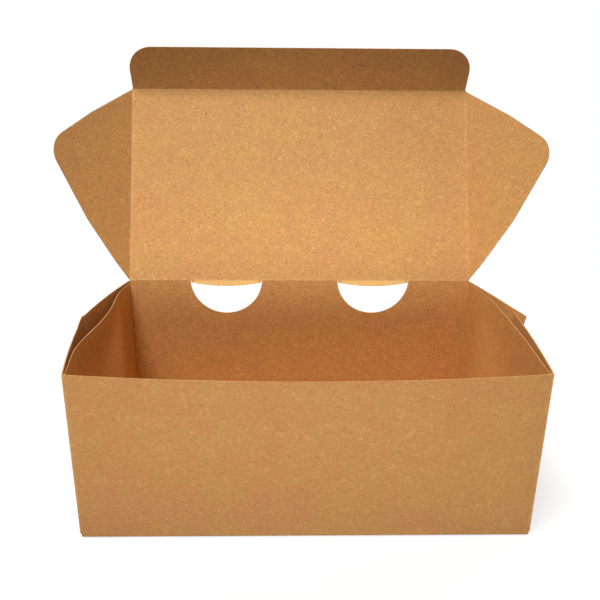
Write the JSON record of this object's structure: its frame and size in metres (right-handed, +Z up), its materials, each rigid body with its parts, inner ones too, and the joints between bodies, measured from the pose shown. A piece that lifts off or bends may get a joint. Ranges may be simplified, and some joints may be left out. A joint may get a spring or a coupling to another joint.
{
  "type": "takeaway box",
  "caption": "Open takeaway box folded from brown kraft board, with a hinged lid, a tuck flap, dust flaps and round vents.",
  "frame": {"origin": "centre of the tray's footprint, on the surface it stands on", "axes": "+X to the right of someone looking into the open box, +Y towards the lid's hinge at the back, +Z up"},
  "size_m": [0.2669, 0.1612, 0.211],
  "materials": {
    "kraft_board": "matt, uncoated"
  },
  "bodies": {
    "tray": {"tray": "kraft_board"},
    "lid": {"lid": "kraft_board"},
    "tuck_flap": {"tuck_flap": "kraft_board"},
    "dust_flap_left": {"dust_flap_left": "kraft_board"},
    "dust_flap_right": {"dust_flap_right": "kraft_board"}
  },
  "joints": [
    {"name": "lid_hinge", "type": "hinge", "parent": "tray", "child": "lid", "pos_m": [0, 0.05708, 0.08135], "axis": [1, 0, 0], "range_deg": [-69, 110.7]},
    {"name": "tuck_fold", "type": "hinge", "parent": "lid", "child": "tuck_flap", "pos_m": [0, 0.09728, 0.18775], "axis": [1, 0, 0], "range_deg": [-37.5, 60.1]},
    {"name": "dust_fold_left", "type": "hinge", "parent": "lid", "child": "dust_flap_left", "pos_m": [-0.0995, 0.05708, 0.08135], "axis": [0, 0.3535, 0.9354], "range_deg": [-42.2, 67.6]},
    {"name": "dust_fold_right", "type": "hinge", "parent": "lid", "child": "dust_flap_right", "pos_m": [0.0995, 0.05708, 0.08135], "axis": [0, -0.3535, -0.9354], "range_deg": [-44.4, 71.1]}
  ],
  "couplings": [
    {"joint": "tuck_fold", "follows": "lid_hinge", "ratio": 0.542},
    {"joint": "dust_fold_left", "follows": "lid_hinge", "ratio": 0.6098},
    {"joint": "dust_fold_right", "follows": "lid_hinge", "ratio": 0.6414}
  ]
}
